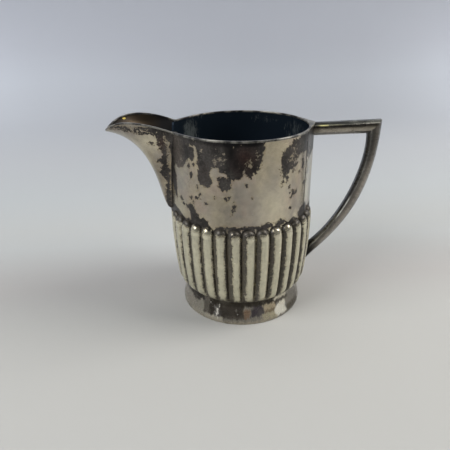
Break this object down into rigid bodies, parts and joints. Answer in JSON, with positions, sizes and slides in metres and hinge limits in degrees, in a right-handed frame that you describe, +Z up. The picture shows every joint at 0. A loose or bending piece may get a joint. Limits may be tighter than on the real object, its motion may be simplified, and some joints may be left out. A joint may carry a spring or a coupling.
{
  "type": "silver creamer",
  "caption": "Small silver-plate milk jug with a reeded lower body, a beaked pouring spout, an angular loop handle and a low flared foot.",
  "frame": {"origin": "On the axis of the round body, in the plane that the foot stands on.", "axes": "+X towards the handle, -X towards the spout, +Y to the pourer's left as the handle is held, +Z up."},
  "size_m": [0.128, 0.0692, 0.0951],
  "materials": {
    "shell_silver": "polished silver plate, tarnished in patches",
    "base_silver": "dull tarnished silver plate",
    "foot_silver": "worn silver plate, dark in the hollows",
    "wire_silver": "bright worn edge",
    "handle_silver": "dark tarnished silver plate with bright edges"
  },
  "bodies": {
    "root": {"body": "shell_silver", "base_plate": "base_silver", "foot_ring": "foot_silver", "rim_wire": "wire_silver", "spout": "shell_silver", "spout_wire": "wire_silver", "handle_top_arm": "handle_silver", "handle_curved_arm": "handle_silver"}
  },
  "joints": []
}
